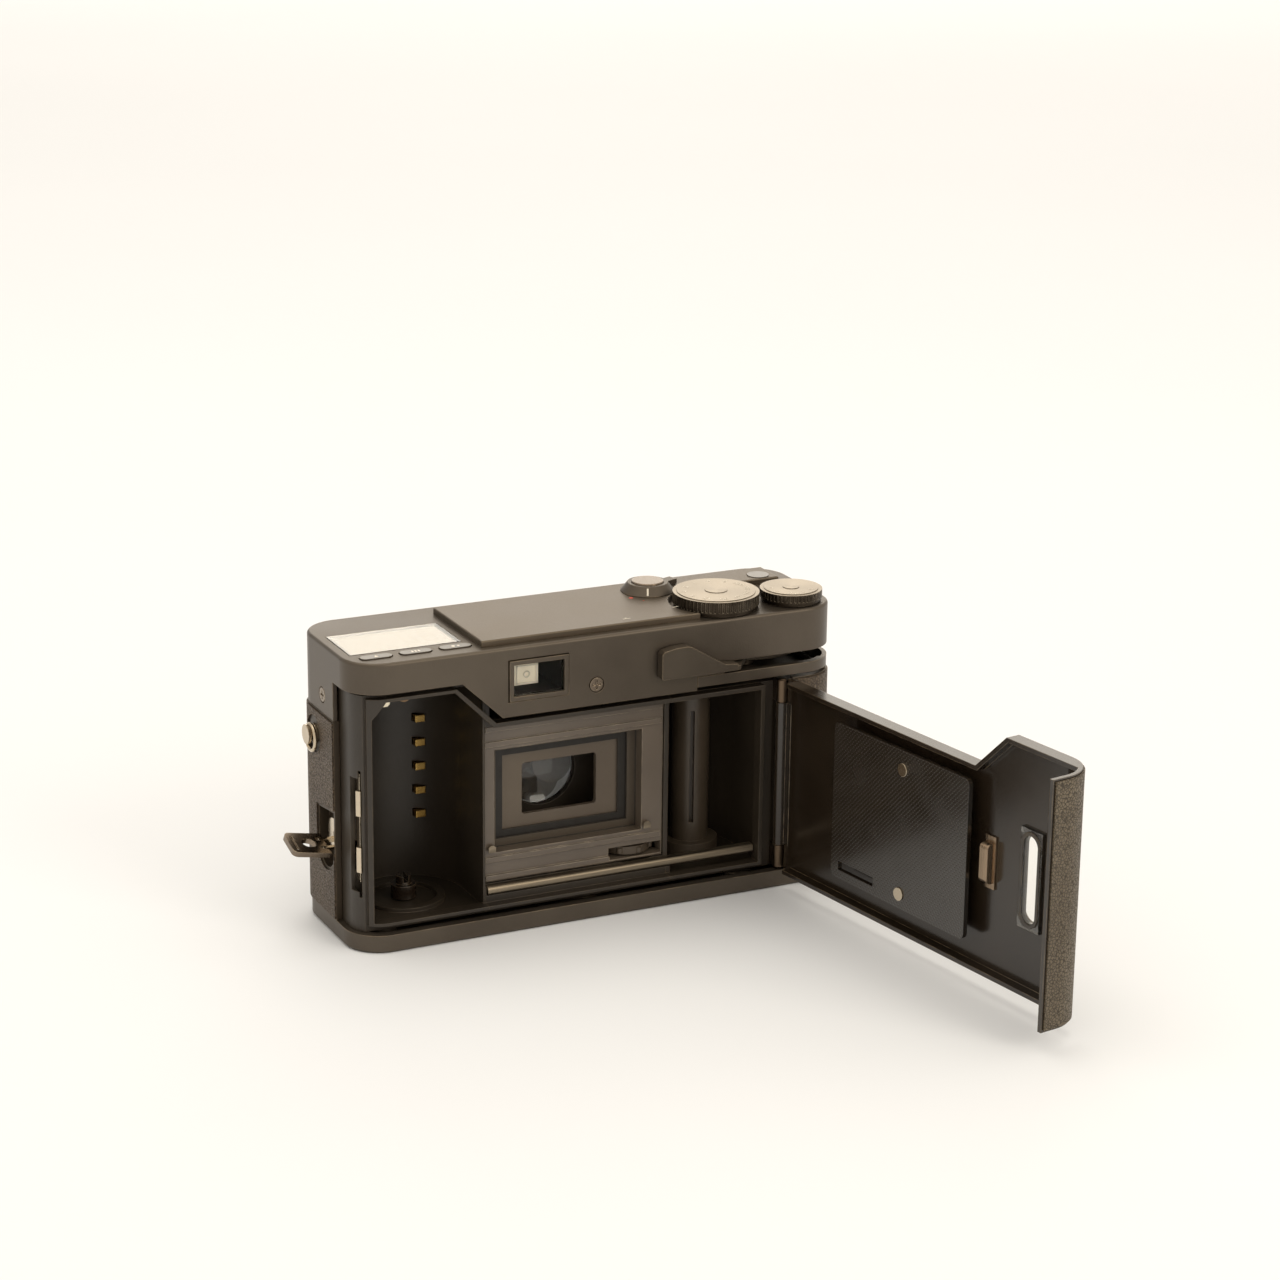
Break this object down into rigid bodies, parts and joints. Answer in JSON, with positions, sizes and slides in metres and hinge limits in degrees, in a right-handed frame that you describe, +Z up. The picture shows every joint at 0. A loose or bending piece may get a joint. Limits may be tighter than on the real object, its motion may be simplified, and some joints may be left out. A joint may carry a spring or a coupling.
{
  "type": "rangefinder camera",
  "caption": "Compact 35 mm film rangefinder camera with its film door open, lens, dials, advance lever, display and latch key.",
  "frame": {"origin": "centre of the tripod socket's mouth on the underside", "axes": "+Z up, +Y forward out of the lens, +X towards the advance lever and hinge end (right, seen from behind)"},
  "size_m": [0.13, 0.1574, 0.0701],
  "materials": {
    "black_paint": "satin",
    "dark_paint": "matte",
    "chassis_plastic": "matte",
    "leatherette": "grained",
    "chrome": "polished",
    "steel": "brushed",
    "gold_contact": "polished",
    "glass": "clear",
    "lcd": "satin",
    "black_plastic": "gloss",
    "matte_plastic": "matte",
    "board": "matte",
    "dial_metal": "knurled",
    "cell": "satin"
  },
  "bodies": {
    "camera_body": {"base_plate": "black_paint", "tripod_bush": "steel", "top_cover": "black_paint", "body_band": "black_paint", "top_plate": "black_paint", "front_shell": "black_paint", "body_leather": "leatherette", "cassette_chassis": "chassis_plastic", "gate_chassis": "chassis_plastic", "spool_chassis": "chassis_plastic", "dx_contacts": "gold_contact", "rail_frame": "dark_paint", "light_baffle": "matte_plastic", "gate_mask": "matte_plastic", "guide_bar": "steel", "lens_mount": "black_paint", "rear_element": "glass", "shutter_blades": "dark_paint", "finder_bezel": "black_plastic", "finder_glass": "glass", "finder_tube": "matte_plastic", "lcd_window": "lcd", "lcd_module": "matte_plastic", "circuit_boards": "board", "lever_shaft": "steel", "screws": "steel", "strap_lugs": "chrome", "hinge_post": "dark_paint", "battery_cells": "cell"},
    "door": {"door_shell": "dark_paint", "door_window": "glass", "door_leather": "leatherette", "plate_rivets": "steel", "plate_spring": "steel", "cassette_spring": "steel", "door_catch": "steel"},
    "lens_unit": {"lens_barrel": "black_paint", "lens_tube": "dark_paint", "front_element": "glass"},
    "pressure_plate": {"pressure_plate": "dark_paint"},
    "focus_ring": {"focus_ring": "dial_metal"},
    "aperture_ring": {"aperture_ring": "dial_metal"},
    "large_dial": {"large_dial": "dial_metal"},
    "small_dial": {"small_dial": "dial_metal"},
    "power_collar": {"power_collar": "black_paint"},
    "shutter_button": {"shutter_button": "chrome"},
    "wind_button": {"wind_button": "dark_paint"},
    "advance_lever": {"advance_lever": "black_paint"},
    "takeup_spool": {"takeup_spool": "matte_plastic"},
    "sprocket": {"sprocket": "steel"},
    "rewind_fork": {"rewind_fork": "matte_plastic"},
    "key_stem": {"key_stem": "chrome"},
    "key_leaf": {"key_leaf": "dark_paint"},
    "latch_slide": {"latch_slide": "chrome"},
    "strap_ring_left": {"strap_ring_left": "chrome"},
    "strap_ring_right": {"strap_ring_right": "chrome"},
    "pill_button_1": {"pill_button_1": "black_plastic"},
    "pill_button_2": {"pill_button_2": "black_plastic"},
    "pill_button_3": {"pill_button_3": "black_plastic"},
    "battery_cover": {"battery_cover": "dark_paint"}
  },
  "joints": [
    {"name": "door_hinge", "type": "hinge", "parent": "camera_body", "child": "door", "pos_m": [0.045, -0.0162, 0.028], "axis": [0, 0, 1], "range_deg": [-99, 6]},
    {"name": "plate_press", "type": "slide", "parent": "door", "child": "pressure_plate", "axis": [0.9877, 0.1564, 0], "range_m": [0, 0.0006], "stiffness_N_per_m": 400, "springref_m": -0.001},
    {"name": "lever_swing", "type": "hinge", "parent": "camera_body", "child": "advance_lever", "pos_m": [0.0435, 0.001, 0.0555], "axis": [0, 0, 1], "range_deg": [0, 130], "stiffness_Nm_per_rad": 0.02, "springref_deg": -17.19},
    {"name": "takeup_turn", "type": "hinge", "parent": "camera_body", "child": "takeup_spool", "pos_m": [0.0296, -0.0008, 0.028], "axis": [0, 0, 1], "range_deg": [0, 312]},
    {"name": "sprocket_turn", "type": "hinge", "parent": "camera_body", "child": "sprocket", "pos_m": [0.0104, -0.0062, 0.0125], "axis": [0, 0, 1], "range_deg": [0, 360.1]},
    {"name": "rewind_turn", "type": "hinge", "parent": "camera_body", "child": "rewind_fork", "pos_m": [-0.0418, -0.0019, 0.008], "axis": [0, 0, 1], "continuous": true},
    {"name": "large_dial_turn", "type": "hinge", "parent": "camera_body", "child": "large_dial", "pos_m": [0.0321, -0.0076, 0.068], "axis": [0, 0, 1], "continuous": true},
    {"name": "small_dial_turn", "type": "hinge", "parent": "camera_body", "child": "small_dial", "pos_m": [0.0501, -0.0097, 0.068], "axis": [0, 0, 1], "continuous": true},
    {"name": "collar_turn", "type": "hinge", "parent": "camera_body", "child": "power_collar", "pos_m": [0.0214, 0.0057, 0.068], "axis": [0, 0, 1], "range_deg": [-30, 30]},
    {"name": "shutter_press", "type": "slide", "parent": "power_collar", "child": "shutter_button", "axis": [0, 0, -1], "range_m": [0, 0.0008], "stiffness_N_per_m": 300, "springref_m": -0.0006},
    {"name": "wind_press", "type": "slide", "parent": "camera_body", "child": "wind_button", "axis": [0, 0, -1], "range_m": [0, 0.0008], "stiffness_N_per_m": 300, "springref_m": -0.0006},
    {"name": "pill_1_press", "type": "slide", "parent": "camera_body", "child": "pill_button_1", "axis": [0, 0, -1], "range_m": [0, 0.0004], "stiffness_N_per_m": 300, "springref_m": -0.0005},
    {"name": "pill_2_press", "type": "slide", "parent": "camera_body", "child": "pill_button_2", "axis": [0, 0, -1], "range_m": [0, 0.0004], "stiffness_N_per_m": 300, "springref_m": -0.0005},
    {"name": "pill_3_press", "type": "slide", "parent": "camera_body", "child": "pill_button_3", "axis": [0, 0, -1], "range_m": [0, 0.0004], "stiffness_N_per_m": 300, "springref_m": -0.0005},
    {"name": "focus_turn", "type": "hinge", "parent": "camera_body", "child": "focus_ring", "pos_m": [-0.006, 0.027, 0.0292], "axis": [0, 1, 0], "range_deg": [0, 80]},
    {"name": "aperture_turn", "type": "hinge", "parent": "camera_body", "child": "aperture_ring", "pos_m": [-0.006, 0.023, 0.0292], "axis": [0, 1, 0], "range_deg": [-30, 30]},
    {"name": "lens_focus", "type": "slide", "parent": "camera_body", "child": "lens_unit", "axis": [0, 1, 0], "range_m": [0, 0.0018]},
    {"name": "key_turn", "type": "hinge", "parent": "camera_body", "child": "key_stem", "pos_m": [-0.0588, -0.0006, 0.0231], "axis": [1, 0, 0], "range_deg": [0, 165]},
    {"name": "key_fold", "type": "hinge", "parent": "key_stem", "child": "key_leaf", "pos_m": [-0.05985, 0.00015, 0.0203], "axis": [0, 0.9659, 0.2588], "range_deg": [-6, 77]},
    {"name": "latch_move", "type": "slide", "parent": "camera_body", "child": "latch_slide", "axis": [0, 0, -1], "range_m": [0, 0.003]},
    {"name": "ring_swing_left", "type": "hinge", "parent": "camera_body", "child": "strap_ring_left", "pos_m": [-0.05985, 0.0066, 0.0443], "axis": [1, 0, 0], "continuous": true},
    {"name": "ring_swing_right", "type": "hinge", "parent": "camera_body", "child": "strap_ring_right", "pos_m": [0.05985, 0.0066, 0.0443], "axis": [1, 0, 0], "continuous": true},
    {"name": "battery_cover_turn", "type": "hinge", "parent": "camera_body", "child": "battery_cover", "pos_m": [0.0496, 0.003, 0.001], "axis": [0, 0, 1], "range_deg": [0, 60]}
  ],
  "couplings": [
    {"joint": "takeup_turn", "follows": "lever_swing", "ratio": 2.4},
    {"joint": "sprocket_turn", "follows": "lever_swing", "ratio": 2.77},
    {"joint": "focus_turn", "follows": "lens_focus", "rad_per_m": 775.7},
    {"joint": "key_turn", "follows": "latch_move", "rad_per_m": 959.93}
  ]
}
